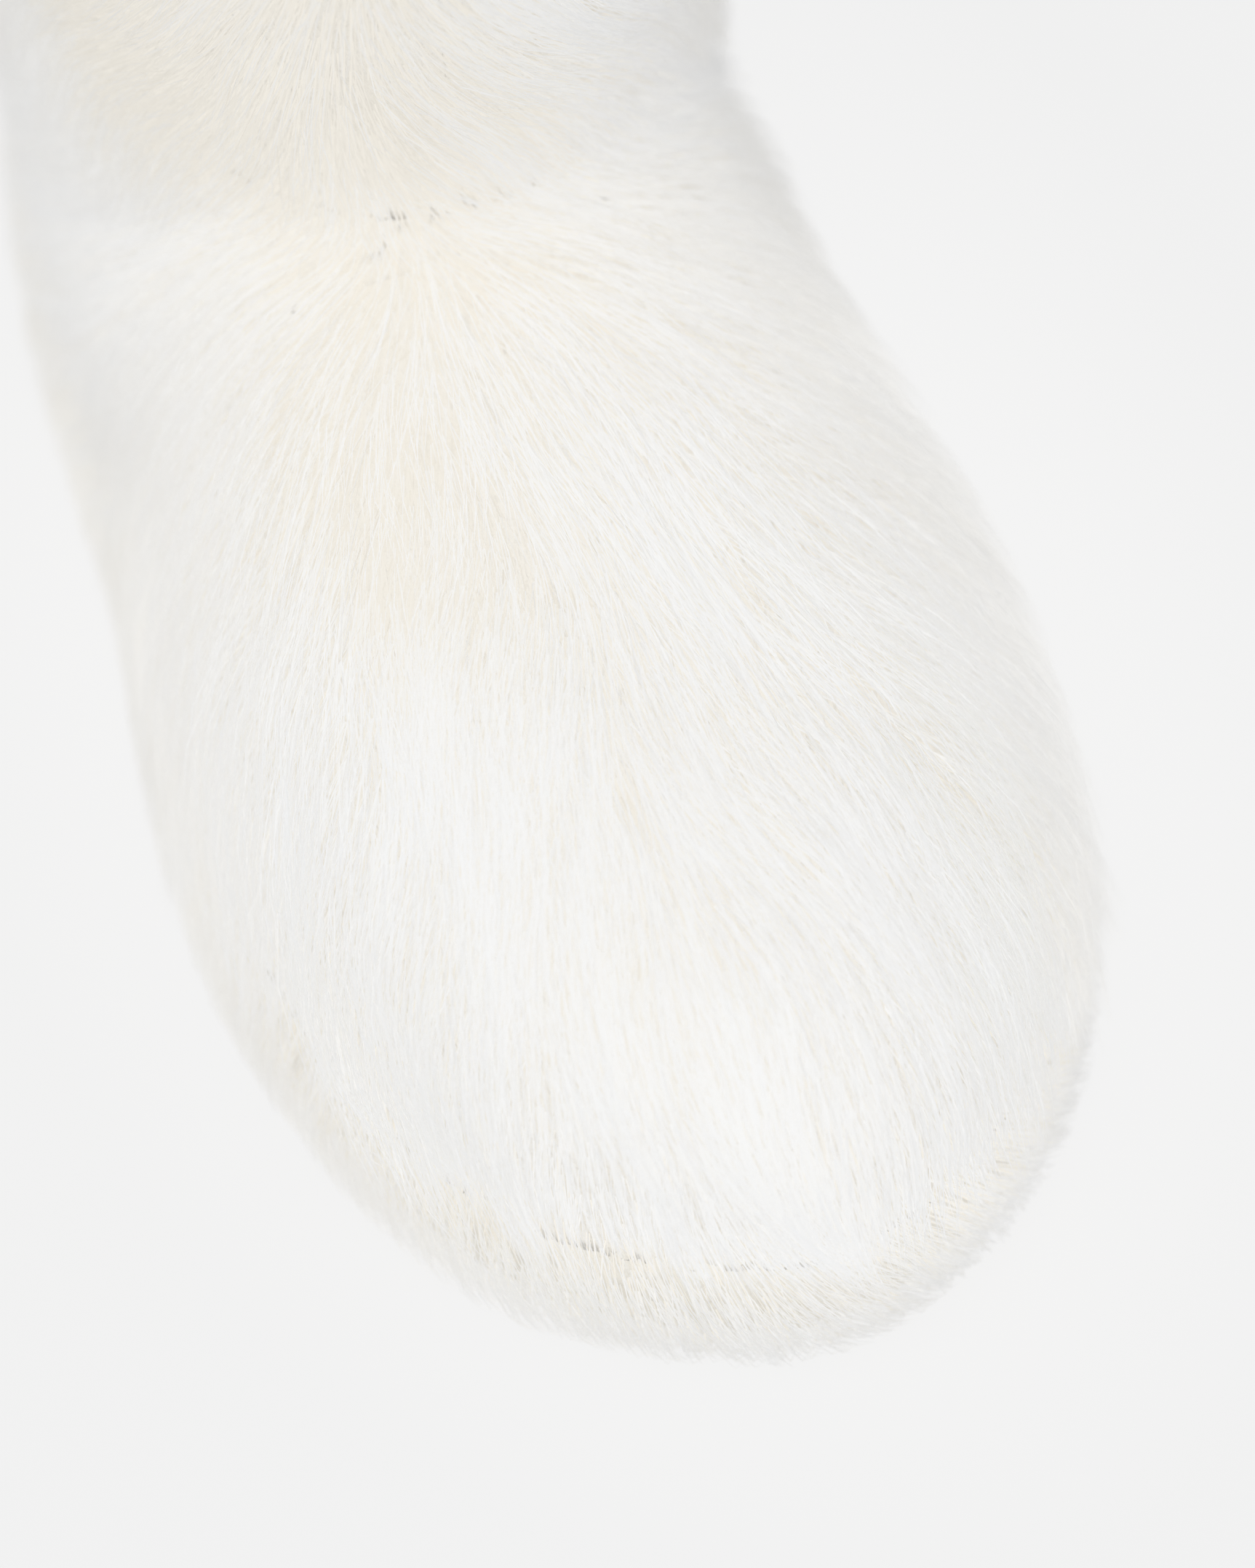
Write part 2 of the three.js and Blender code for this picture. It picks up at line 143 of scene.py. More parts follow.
def remesh(piece, voxel, smoothing=0, keep=1.0):
    """Rebuilds a solid with even faces, relaxes it, and keeps a share of the faces where it is flat."""
    step = piece.modifiers.new("remesh", "REMESH")
    step.mode = "VOXEL"
    step.voxel_size = voxel
    step.use_smooth_shade = True
    if smoothing:
        relax = piece.modifiers.new("relax", "SMOOTH")
        relax.iterations = smoothing
        relax.factor = 0.5
    if keep < 1:
        piece.modifiers.new("thin", "DECIMATE").ratio = keep
    return apply_modifiers(piece)


def node_copy(node, name):
    """A free copy of a CAD node's mesh, with shared corners merged."""
    source = frame["nodes"][node]
    mesh = source.data.copy()
    mesh.transform(source.matrix_world)
    work = bmesh.new()
    work.from_mesh(mesh)
    bmesh.ops.remove_doubles(work, verts=work.verts, dist=1e-6)
    work.to_mesh(mesh)
    work.free()
    mesh.name = name
    mesh.materials.clear()
    return link(name, mesh)


def points_of(mesh):
    points = np.empty(len(mesh.vertices) * 3)
    mesh.vertices.foreach_get("co", points)
    return points.reshape(-1, 3)


def set_points(mesh, points):
    mesh.vertices.foreach_set("co", np.ascontiguousarray(points, dtype=np.float32).ravel())
    mesh.update()


def normals_of(mesh):
    normals = np.empty(len(mesh.vertices) * 3)
    mesh.vertices.foreach_get("normal", normals)
    return normals.reshape(-1, 3)


def tree_of(piece):
    mesh = piece.data
    return BVHTree.FromPolygons([v.co for v in mesh.vertices], [tuple(p.vertices) for p in mesh.polygons])


def discard(piece):
    mesh = piece.data
    bpy.data.objects.remove(piece)
    bpy.data.meshes.remove(mesh)


def join_solids(name, *pieces):
    work = bmesh.new()
    for piece in pieces:
        work.from_mesh(piece.data)
        discard(piece)
    mesh = bpy.data.meshes.new(name)
    work.to_mesh(mesh)
    work.free()
    return link(name, mesh)


# ---- smooth skins of the slipper, at any depth below the lying pile's outer face ----

RING_POINTS = 192
DOME_LEVELS = 26
DOME_ROUNDNESS = 0.64
DOME_BULGE = 0.035
NARROWEST_RING = 0.02
SHAFT_LEVELS = 24
BAND_LEVELS = 11
BAND_BULGE = 2 * MM
BAND_ROLL = 3 * MM
BAND_DEPTH_SHARE = 0.8
SKIN_VOXEL = 2.2 * MM
SKIN_SMOOTHING = 8
BAND_FUR_TOP = 27 * MM
UPPER_INSET = 4 * MM
TOE_TOP = 61.5 * MM
ANKLE_TUCK = 5.5 * MM
ANKLE_TUCK_TOP = 72 * MM
SHAFT_NARROWING = 5 * MM
SHAFT_LEAN_BACK = 4 * MM
SHAFT_HALF_WIDTH = SHAFT_HIGH[0]
SHAFT_BACK_Y = HEEL_Y - UPPER_INSET - 0.5 * MM
SHAFT_MID_Y = (CREASE_Y + SHAFT_BACK_Y) / 2
SHAFT_HALF_LENGTH = (SHAFT_BACK_Y - CREASE_Y) / 2


def smooth_outline():
    """The sole's outline: the band node's widest ring, filled in smoothly between its corners."""
    copy = node_copy(BAND_NODE, "work")
    points = points_of(copy.data)
    discard(copy)
    middle = (BAND_LOW[2] + BAND_HIGH[2]) / 2
    ring = points[np.abs(points[:, 2] - middle) < 0.2 * MM]
    angle = np.arctan2(ring[:, 1], ring[:, 0])
    ring = ring[np.argsort(angle)]
    spectrum = np.fft.fft(ring[:, 0] + 1j * ring[:, 1])
    half = len(ring) // 2
    padded = np.zeros(RING_POINTS, complex)
    padded[:half] = spectrum[:half]
    padded[-half:] = spectrum[-half:]
    dense = np.fft.ifft(padded) * (RING_POINTS / len(ring))
    return np.column_stack([dense.real, dense.imag])


OUTLINE = smooth_outline()
OUTLINE_ALONG = unit(np.roll(OUTLINE, -1, axis=0) - np.roll(OUTLINE, 1, axis=0))
OUTLINE_INWARD = np.column_stack([-OUTLINE_ALONG[:, 1], OUTLINE_ALONG[:, 0]])


def outline_ring(inset, z):
    flat = OUTLINE + inset * OUTLINE_INWARD
    return np.column_stack([flat, np.full(len(flat), z)])


def loft(name, rings):
    """A closed mesh through rings of equal length, its two ends closed with fans."""
    count = len(rings[0])
    vertices = [p for ring in rings for p in ring]
    faces = []
    for level in range(len(rings) - 1):
        for i in range(count):
            a = level * count + i
            b = level * count + (i + 1) % count
            faces.append((a, b, b + count, a + count))
    for start, flip in ((0, True), ((len(rings) - 1) * count, False)):
        hub = len(vertices)
        vertices.append(np.mean(vertices[start:start + count], axis=0))
        for i in range(count):
            a = start + i
            b = start + (i + 1) % count
            faces.append((hub, b, a) if flip else (hub, a, b))
    return make_object(name, vertices, faces)


def ridge_height(y):
    """Height of the pile's outer face along the top of the foot."""
    return TOE_TOP + (CREASE_TOP - TOE_TOP) * ramp(y, TOE_Y + 10 * MM, CREASE_Y + 20 * MM)


def foot_skin(inset):
    base = outline_ring(UPPER_INSET + inset, 0.0)
    half_width = BAND_HIGH[0] - UPPER_INSET
    half_length = (HEEL_Y - TOE_Y) / 2 - UPPER_INSET
    rings = []
    for angle in np.linspace(0, math.pi / 2, DOME_LEVELS):
        across = max(NARROWEST_RING, math.cos(angle) ** DOME_ROUNDNESS)
        along = 1 - (1 - across) * (half_width / half_length)
        bulge = 1 + DOME_BULGE * math.sin(2 * angle)
        ring = base * (across * bulge, along, 0)
        top = ridge_height(ring[:, 1]) - inset
        ring[:, 2] = UPPER_FOOT + (top - UPPER_FOOT) * math.sin(angle)
        rings.append(ring)
    return loft("foot_skin", rings)


def shaft_ring(inset, z):
    """The shaft's oval at one height, anticlockwise from above, starting at the front."""
    tuck = ANKLE_TUCK * (1 - ramp(z, UPPER_FOOT, ANKLE_TUCK_TOP))
    slim = SHAFT_NARROWING * ramp(z, CREASE_TOP, SHAFT_HIGH[2])
    middle = SHAFT_MID_Y + SHAFT_LEAN_BACK * (ramp(z, UPPER_FOOT, SHAFT_HIGH[2]) - 0.5)
    angle = np.linspace(0, 2 * math.pi, RING_POINTS, endpoint=False)
    return np.column_stack([
        (SHAFT_HALF_WIDTH - tuck - slim - inset) * np.sin(angle),
        middle - (SHAFT_HALF_LENGTH - slim - inset) * np.cos(angle),
        np.full(RING_POINTS, z),
    ])


def shaft_skin(inset, top):
    return loft("shaft_skin", [shaft_ring(inset, z) for z in np.linspace(UPPER_FOOT, top, SHAFT_LEVELS)])


def band_skin(inset):
    """The strip's face round the sole: it bulges at mid height and rolls in over the seam with the upper."""
    low = BAND_LOW[2] + inset * 0.4
    high = BAND_FUR_TOP - inset * 0.4
    rings = []
    for share in np.linspace(0, 1, BAND_LEVELS):
        sunk = BAND_BULGE * (2 * share - 1) ** 2 + BAND_ROLL * ramp(share, 0.75, 1.0)
        rings.append(outline_ring(inset + sunk, low + (high - low) * share))
    return loft("band_skin", rings)


CREASE_PASSES = 70
CREASE_FILL = (10 * MM, 24 * MM)
RIM_OVERLAP = 18 * MM


def fill_crease(skin):
    """Rounds the corner between foot and shaft, which the long pile fills."""
    mesh = skin.data
    points = points_of(mesh)
    edges = np.empty(len(mesh.edges) * 2, int)
    mesh.edges.foreach_get("vertices", edges)
    start, end = np.concatenate([edges.reshape(-1, 2), edges.reshape(-1, 2)[:, ::-1]]).T
    neighbours = np.bincount(start, minlength=len(points))
    pull = 0.5 * (1 - ramp(np.abs(points[:, 2] - CREASE_TOP), *CREASE_FILL))
    for _ in range(CREASE_PASSES):
        for axis in range(3):
            total = np.bincount(start, points[end, axis], len(points))
            points[:, axis] += pull * (total / neighbours - points[:, axis])
    set_points(mesh, points)


def whole_skin(depth):
    """The slipper's outer form at a depth below the lying pile's face, as one smooth closed mesh."""
    shaft = shaft_skin(depth, SHAFT_HIGH[2] + RIM_OVERLAP)
    parts = (foot_skin(depth), shaft, band_skin(depth * BAND_DEPTH_SHARE))
    skin = remesh(join_solids("whole_skin", *parts), SKIN_VOXEL, SKIN_SMOOTHING)
    fill_crease(skin)
    return skin


# ---- materials ----

# White fur scatters light from hair to hair. The hairs take no part in bounced light, so a faint glow
# stands in for it.
HAIR_GLOW = 0.095
# Painted shade: the shaft's hairs glow less than the foot's, which paints the shaft darker.
SHADED_SHAFT_GLOW = 0.062
# Painted light: the backing under the pile glows more than the hairs, which keeps the gaps between hairs
# light.
BACKING_GLOW = 1.2 * HAIR_GLOW
# Painted light: the plush lining and webbing, and the rib knit and sewing thread, glow faintly, which keeps
# them light where they lie in shade.
PLUSH_GLOW = 0.06
KNIT_GLOW = 0.09


def principled(name, color, roughness, sheen=0.0, emission=0.0, specular=0.25):
    material = bpy.data.materials.new(name)
    material.use_nodes = True
    shader = material.node_tree.nodes["Principled BSDF"]
    shader.inputs["Base Color"].default_value = (*color, 1)
    shader.inputs["Roughness"].default_value = roughness
    shader.inputs["Specular IOR Level"].default_value = specular
    shader.inputs["Sheen Weight"].default_value = sheen
    shader.inputs["Sheen Roughness"].default_value = 0.5
    shader.inputs["Emission Color"].default_value = (*color, 1)
    shader.inputs["Emission Strength"].default_value = emission
    material.diffuse_color = (*color, 1)
    material.cycles.emission_sampling = "NONE"
    return material


class Nodes:
    """A short way to wire a procedural material."""

    def __init__(self, material):
        self.tree = material.node_tree
        self.shader = self.tree.nodes["Principled BSDF"]
        self.place = self.add("ShaderNodeTexCoord").outputs["Object"]

    def add(self, kind, inputs=None, **settings):
        node = self.tree.nodes.new(kind)
        for key, value in settings.items():
            setattr(node, key, value)
        for key, value in (inputs or {}).items():
            if isinstance(value, bpy.types.NodeSocket):
                self.tree.links.new(value, node.inputs[key])
            else:
                node.inputs[key].default_value = value
        return node

    def noise(self, scale, detail=3.0, stretch=(1, 1, 1)):
        place = self.add("ShaderNodeMapping", {"Vector": self.place, "Scale": stretch}).outputs["Vector"]
        inputs = {"Vector": place, "Scale": scale, "Detail": detail}
        return self.add("ShaderNodeTexNoise", inputs).outputs["Fac"]

    def cells(self, scale):
        inputs = {"Vector": self.place, "Scale": scale}
        return self.add("ShaderNodeTexVoronoi", inputs).outputs["Distance"]

    def wave(self, scale, axis, distortion=0.0):
        inputs = {"Vector": self.place, "Scale": scale, "Distortion": distortion}
        return self.add("ShaderNodeTexWave", inputs, bands_direction=axis).outputs["Fac"]

    def math(self, operation, first, second):
        return self.add("ShaderNodeMath", {0: first, 1: second}, operation=operation).outputs[0]

    def color_between(self, factor, dark, light):
        mixer = self.add("ShaderNodeMix", data_type="RGBA")
        self.tree.links.new(factor, mixer.inputs["Factor"])
        mixer.inputs["A"].default_value = (*dark, 1)
        mixer.inputs["B"].default_value = (*light, 1)
        self.tree.links.new(mixer.outputs["Result"], self.shader.inputs["Base Color"])

    def roughness_between(self, factor, low, high):
        span = self.add("ShaderNodeMapRange", {"Value": factor, "To Min": low, "To Max": high})
        self.tree.links.new(span.outputs["Result"], self.shader.inputs["Roughness"])

    def bump(self, height, distance, strength=1.0):
        inputs = {"Height": height, "Distance": distance, "Strength": strength}
        node = self.add("ShaderNodeBump", inputs)
        self.tree.links.new(node.outputs["Normal"], self.shader.inputs["Normal"])


def fuzzy_material(name, dark, light, scale, bump, sheen, emission=0.0):
    """Dense short pile: soft mottled colour with a fine fibrous bump."""
    material = principled(name, light, 0.95, sheen, emission)
    nodes = Nodes(material)
    clumps = nodes.noise(scale, 4.0)
    nodes.color_between(clumps, dark, light)
    fine = nodes.noise(scale * 7, 3.0, (1, 0.4, 0.5))
    nodes.bump(nodes.math("ADD", clumps, fine), bump)
    nodes.roughness_between(fine, 0.85, 1.0)
    return material


def foam_material(name, dark, light, pore_scale):
    material = principled(name, light, 0.85)
    nodes = Nodes(material)
    pores = nodes.cells(pore_scale)
    nodes.color_between(pores, dark, light)
    nodes.bump(pores, 0.25 * MM)
    nodes.roughness_between(nodes.noise(pore_scale / 4), 0.75, 0.95)
    return material


def woven_material(name, dark, light, threads, bump, emission=0.0):
    """Crossed threads; threads is the wave texture's scale."""
    material = principled(name, light, 0.85, 0.3, emission)
    nodes = Nodes(material)
    warp = nodes.wave(threads, "Z", 0.2)
    weft = nodes.wave(threads, "X", 0.2)
    weave = nodes.math("MAXIMUM", warp, weft)
    nodes.color_between(weave, dark, light)
    nodes.bump(weave, bump)
    nodes.roughness_between(nodes.noise(threads / 3), 0.75, 0.95)
    return material


def rubber_material(name, dark, light):
    material = principled(name, light, 0.6)
    nodes = Nodes(material)
    grain = nodes.noise(900.0, 4.0)
    nodes.color_between(nodes.noise(35.0), dark, light)
    nodes.bump(grain, 0.12 * MM, 0.6)
    nodes.roughness_between(grain, 0.5, 0.75)
    return material


UNDERCOAT = fuzzy_material(
    "fur_undercoat", (0.88, 0.83, 0.73), (0.93, 0.90, 0.84), 160.0, 0.6 * MM, 0.1, BACKING_GLOW)
BAND_UNDERCOAT = fuzzy_material(
    "band_undercoat", (0.87, 0.82, 0.71), (0.92, 0.89, 0.82), 190.0, 0.5 * MM, 0.1, BACKING_GLOW)
PLUSH = fuzzy_material(
    "plush_lining", (0.80, 0.75, 0.66), (0.93, 0.90, 0.84), 420.0, 0.7 * MM, 0.6, PLUSH_GLOW)
KNIT = woven_material("rib_knit", (0.86, 0.83, 0.76), (0.95, 0.935, 0.90), 260.0, 0.35 * MM, KNIT_GLOW)
WEBBING = woven_material(
    "cotton_webbing", (0.80, 0.75, 0.64), (0.93, 0.90, 0.82), 420.0, 0.3 * MM, PLUSH_GLOW)
SATIN = woven_material("label_satin", (0.86, 0.86, 0.86), (0.95, 0.95, 0.95), 900.0, 0.05 * MM)
THREAD = woven_material("sewing_thread", (0.84, 0.80, 0.70), (0.93, 0.90, 0.83), 500.0, 0.2 * MM, KNIT_GLOW)
FOAM = foam_material("padding_foam", (0.80, 0.73, 0.54), (0.94, 0.90, 0.78), 700.0)
EVA = foam_material("eva_foam", (0.86, 0.85, 0.82), (0.94, 0.93, 0.91), 500.0)
BOARD = fuzzy_material("fibre_board", (0.52, 0.42, 0.28), (0.70, 0.60, 0.44), 600.0, 0.1 * MM, 0.0)
STIFFENER = fuzzy_material("stiffener_felt", (0.72, 0.70, 0.64), (0.86, 0.84, 0.79), 500.0, 0.15 * MM, 0.1)
RUBBER = rubber_material("tread_rubber", (0.60, 0.55, 0.47), (0.68, 0.63, 0.55))


def hair_materials(part, glow):
    """The four shades of one part's hairs, from the creamiest to the coolest."""
    shades = {
        "cream_root": (0.935, 0.895, 0.815),
        "warm_white": (0.95, 0.938, 0.908),
        "white": (0.96, 0.957, 0.948),
        "cool_white": (0.955, 0.96, 0.965),
    }
    names = {f"{part}_hair_{shade}": color for shade, color in shades.items()}
    return [principled(name, color, 0.8, emission=glow, specular=0.0) for name, color in names.items()]


FOOT_HAIR = hair_materials("foot", HAIR_GLOW)
# The shaft's hairs are a shaded copy of the foot's, with less glow as painted shade.
SHADED_SHAFT_HAIR = hair_materials("shaft", SHADED_SHAFT_GLOW)
CREAM, WARM, WHITE, COOL = range(4)

# ---- fur: how the pile flows ----

ROOT_DEPTH = 3.8 * MM
SKIN = whole_skin(ROOT_DEPTH)
SKIN_TREE = tree_of(SKIN)

FAN_SOURCE = np.array([-6 * MM, CREASE_Y + 14 * MM])
SWIRL = np.array([-15 * MM, CREASE_Y + 4 * MM, CREASE_TOP + 28 * MM])
SWIRL_CORE = 20 * MM
SWIRL_REACH = 70 * MM
SHALLOWEST = -7 * MM
INWARD_DRIFT = 0.22
SHAFT_HANG = 0.6
WALL_HANG = 0.75
BAND_ROUND, BAND_HANG = 0.65, 0.8
OVERHANG = (CREASE_TOP + 4 * MM, CREASE_TOP + 22 * MM)
RIM = (SHAFT_HIGH[2] - 14 * MM, SHAFT_HIGH[2] - 1 * MM)
RISING_FLOW = (0.0, 0.0, 1.0)


def wobble(points, scale, seed):
    """Smooth pseudo-random values from -1 to 1, the same for the same place."""
    p = points / scale
    a = np.sin(p[:, 0] * 1.7 + p[:, 1] * 2.3 + seed) + np.sin(p[:, 1] * 1.1 - p[:, 2] * 2.9 + 2.1 * seed)
    b = np.sin(p[:, 2] * 1.9 + p[:, 0] * 2.7 - 1.3 * seed)
    b += np.sin((p[:, 0] - p[:, 1] + p[:, 2]) * 1.3 + seed)
    return (a + b) / 4


def foot_flow(points, normals):
    """From the crease the pile fans out over the toes and sides, and hangs on the steep walls."""
    fan = unit(points[:, :2] - FAN_SOURCE)
    steep = 1 - np.clip(normals[:, 2], 0, 1)
    return np.column_stack([fan, -WALL_HANG * steep])


def shaft_flow(points):
    """The pile parts along a line up the shaft's front and sweeps round to both sides as it hangs."""
    away = points - SWIRL
    level = np.linalg.norm(away[:, :2], axis=1)
    near = (1 - ramp(level, SWIRL_CORE, SWIRL_REACH)) * (0.45 + 0.55 * ramp(points[:, 2], *OVERHANG))
    away[:, 2] = np.minimum(away[:, 2], SHALLOWEST)
    flow = unit(away) * near[:, None]
    flow[:, 0] += INWARD_DRIFT * near
    flow[:, 2] -= SHAFT_HANG
    return flow


def band_flow(points, normals):
    """The strip's pile is combed round the sole and down."""
    around = np.column_stack([-normals[:, 1], normals[:, 0], np.zeros(len(points))])
    flow = BAND_ROUND * unit(around)
    flow[:, 2] -= BAND_HANG
    return flow


def pile_flow(region, points, normals):
    if region == "band":
        flow = band_flow(points, normals)
    elif region == "shaft":
        flow = shaft_flow(points)
    else:
        flow = foot_flow(points, normals)
    sway = unit(np.cross(normals, flow))
    drift = 0.30 * wobble(points, 16 * MM, 1.0) + 0.18 * wobble(points, 5 * MM, 4.0)
    if region == "shaft":
        drift *= 1.6
    flow = unit(flow) + sway * drift[:, None]
    flow -= normals * np.sum(flow * normals, axis=1, keepdims=True)
    return unit(flow)


# ---- fur: where hairs start ----

def skin_triangles():
    """Corners, centre, normal and area of each triangle of the skin."""
    mesh = SKIN.data
    mesh.calc_loop_triangles()
    corners = np.empty(len(mesh.loop_triangles) * 3, int)
    mesh.loop_triangles.foreach_get("vertices", corners)
    corners = points_of(mesh)[corners.reshape(-1, 3)]
    cross = np.cross(corners[:, 1] - corners[:, 0], corners[:, 2] - corners[:, 0])
    area = np.linalg.norm(cross, axis=1) / 2
    return corners, corners.mean(axis=1), unit(cross), area


def nearest_fur_node(centres):
    trees = {}
    for node in (*FUR_NODES, BAND_NODE):
        copy = node_copy(node, "work")
        trees[node] = tree_of(copy)
        discard(copy)
    names = []
    for centre in centres:
        place = Vector(centre)
        names.append(min(trees, key=lambda node: trees[node].find_nearest(place)[3]))
    return np.array(names)


CORNERS, CENTRES, FACE_NORMALS, AREAS = skin_triangles()
FACE_NODES = nearest_fur_node(CENTRES)
FACE_NODES[CENTRES[:, 2] < BAND_FUR_TOP - 1 * MM] = BAND_NODE
UNDERNEATH = (FACE_NORMALS[:, 2] < -0.6) & (CENTRES[:, 2] < BAND_LOW[2] + 6 * MM)
COVERED = ~UNDERNEATH & (CENTRES[:, 2] < SHAFT_HIGH[2] - 0.5 * MM)


def scatter_roots(node, per_mm2):
    """Random places on the part of the skin that belongs to one CAD node."""
    faces = np.flatnonzero((FACE_NODES == node) & COVERED)
    area = AREAS[faces]
    count = int(area.sum() / MM ** 2 * per_mm2)
    chosen = faces[RNG.choice(len(faces), count, p=area / area.sum())]
    u, v = RNG.random((2, count))
    over = u + v > 1
    u[over], v[over] = 1 - u[over], 1 - v[over]
    corner = CORNERS[chosen]
    edges = (corner[:, 1] - corner[:, 0], corner[:, 2] - corner[:, 0])
    roots = corner[:, 0] + edges[0] * u[:, None] + edges[1] * v[:, None]
    return roots, FACE_NORMALS[chosen]


# ---- fur: growing and shaping hairs ----

SEGMENTS = 3
SUBSTEPS = 2
ROOT_SUNK = 1.0 * MM
LOWEST_TIP = 0.8 * MM
RISING_SHARE = 0.5
RISING_LENGTH = 0.45
COMBING_SPREAD = 0.13
TIP_TAPER = 0.55


def snap_to_skin(points):
    feet = np.empty_like(points)
    normals = np.empty_like(points)
    for i, point in enumerate(points):
        foot, normal, _, _ = SKIN_TREE.find_nearest(Vector(point))
        feet[i] = foot
        normals[i] = normal
    return feet, normals


def grow(region, roots, normals, lengths, heights):
    """Each hair's path, combed along the flow at a height above the skin that rises towards its tip."""
    count = len(roots)
    path = np.empty((count, SEGMENTS + 1, 3))
    path[:, 0] = roots - normals * ROOT_SUNK
    outward = np.repeat(normals[:, None], SEGMENTS, axis=1)
    spot = roots
    flow = pile_flow(region, spot, normals)
    rising = RNG.random(count) < RISING_SHARE * ramp(roots[:, 2], *RIM)
    flow[rising] = RISING_FLOW
    lengths = np.where(rising, RISING_LENGTH * lengths, lengths)
    jitter = RNG.normal(0, COMBING_SPREAD, count)
    step = (lengths / SEGMENTS / SUBSTEPS)[:, None]
    for k in range(1, SEGMENTS + 1):
        share = k / SEGMENTS
        for _ in range(SUBSTEPS):
            turned = unit(flow + np.cross(normals, flow) * jitter[:, None])
            feet, normals = snap_to_skin(spot + turned * step)
            spot = feet
            combed = unit(0.5 * flow + 0.5 * pile_flow(region, feet, normals))
            flow = np.where(rising[:, None], flow, combed)
        lift = heights * (1 - (1 - share) ** 2.0)
        path[:, k] = feet + normals * lift[:, None]
        path[:, k, 2] = np.maximum(path[:, k, 2], LOWEST_TIP)
        outward[:, k - 1] = normals
    return path, outward


def nearest(places, points):
    """For each point, the number of the nearest place."""
    tree = kdtree.KDTree(len(places))
    for i, place in enumerate(places):
        tree.insert(Vector(place), i)
    tree.balance()
    return np.array([tree.find(Vector(point))[1] for point in points])


def gather_locks(path, leaders, pull):
    """Draws hairs towards the path of the nearest lock leader, more so towards their tips."""
    lock = nearest(path[leaders, 0], path[:, 0])
    own = leaders[lock]
    for k in range(1, SEGMENTS + 1):
        share = pull * (k / SEGMENTS) ** 1.3
        path[:, k] += (path[own, k] - path[:, k]) * share[:, None]
    return lock


TUFT_AREA = 95
TUFT_REACH = 24 * MM
TUFT_ENDS = (-8.5 * MM, 1.5 * MM)


def fringe_tufts(node):
    """Where a panel's broad tufts stand, and how far above or below the strip's top each one ends."""
    places, _ = scatter_roots(node, 1 / TUFT_AREA)
    return places, RNG.uniform(*TUFT_ENDS, len(places))


def trim_fringe(path, places, ends):
    """Gathers the lowest hairs into the tufts, each ending at its own height above the sole's strip."""
    near_seam = 1 - ramp(path[:, 0, 2], BAND_FUR_TOP, BAND_FUR_TOP + TUFT_REACH)
    leaders = nearest(path[:, 0], places)
    tuft = gather_locks(path, leaders, 0.85 * near_seam * RNG.uniform(0.5, 1.0, len(path)))
    floor = BAND_FUR_TOP + ends[tuft] + RNG.normal(0, 0.8, len(path)) * MM
    fall = path[:, 0, 2] - path[:, -1, 2]
    share = np.where(fall > 0, (path[:, 0, 2] - floor) / np.maximum(fall, 1e-6), 1)
    share = np.where(path[:, -1, 2] < floor, np.clip(share, 0.2, 1), 1)
    station = share[:, None] * np.arange(SEGMENTS + 1)[None, :]
    before = np.minimum(station.astype(int), SEGMENTS - 1)
    rest = (station - before)[:, :, None]
    rows = np.arange(len(path))[:, None]
    return path[rows, before] * (1 - rest) + path[rows, before + 1] * rest


def spike_points(path, outward, root_radius):
    """The corners of every hair: three round each station of its path, and one at its tip."""
    count = len(path)
    forward = unit(path[:, 1:] - path[:, :-1])
    tilted = outward + 0.2 * RNG.normal(size=(count, 1, 3))
    side = unit(np.cross(forward, tilted))
    over = np.cross(side, forward)
    corner_angle = math.pi / 6 + np.arange(3) * 2 * math.pi / 3
    taper = root_radius[:, None] * np.linspace(1.0, TIP_TAPER, SEGMENTS)[None, :]
    around = (side[:, :, None, :] * np.cos(corner_angle)[None, None, :, None]
              + over[:, :, None, :] * np.sin(corner_angle)[None, None, :, None])
    rings = path[:, :-1, None, :] + around * taper[:, :, None, None]
    return np.concatenate([rings.reshape(count, -1, 3), path[:, -1:, :]], axis=1)


def spike_faces():
    """One hair's four-sided and three-sided faces, and the segment that each takes its shade from."""
    quads = []
    triangles = [(0, 1, 2)]
    for ring in range(SEGMENTS - 1):
        for i in range(3):
            a, b = ring * 3 + i, ring * 3 + (i + 1) % 3
            quads.append((b, a, a + 3, b + 3))
    last = (SEGMENTS - 1) * 3
    for i in range(3):
        triangles.append((last + (i + 1) % 3, last + i, last + 3))
    segments = [ring for ring in range(SEGMENTS - 1) for _ in range(3)] + [0] + [SEGMENTS - 1] * 3
    return quads, triangles, segments


def hair_mesh(name, path, outward, root_radius, shades, materials):
    """Every hair as its own closed three-sided spike, lying with one of its flat sides outwards."""
    points = spike_points(path, outward, root_radius)
    count, per_hair = points.shape[:2]
    quads, triangles, segments = spike_faces()
    offset = (np.arange(count) * per_hair)[:, None]
    corners = offset + np.concatenate([np.ravel(quads), np.ravel(triangles)])[None]
    sizes = np.tile([4] * len(quads) + [3] * len(triangles), count)
    starts = np.concatenate([[0], np.cumsum(sizes)[:-1]])

    mesh = bpy.data.meshes.new(name)
    mesh.vertices.add(count * per_hair)
    mesh.vertices.foreach_set("co", points.astype(np.float32).ravel())
    mesh.loops.add(corners.size)
    mesh.loops.foreach_set("vertex_index", corners.astype(np.int32).ravel())
    mesh.polygons.add(len(sizes))
    mesh.polygons.foreach_set("loop_start", starts.astype(np.int32))
    for material in materials:
        mesh.materials.append(material)
    mesh.polygons.foreach_set("material_index", shades[:, segments].astype(np.int32).ravel())
    mesh.update(calc_edges=True)
    mesh.shade_flat()
    return link(name, mesh)


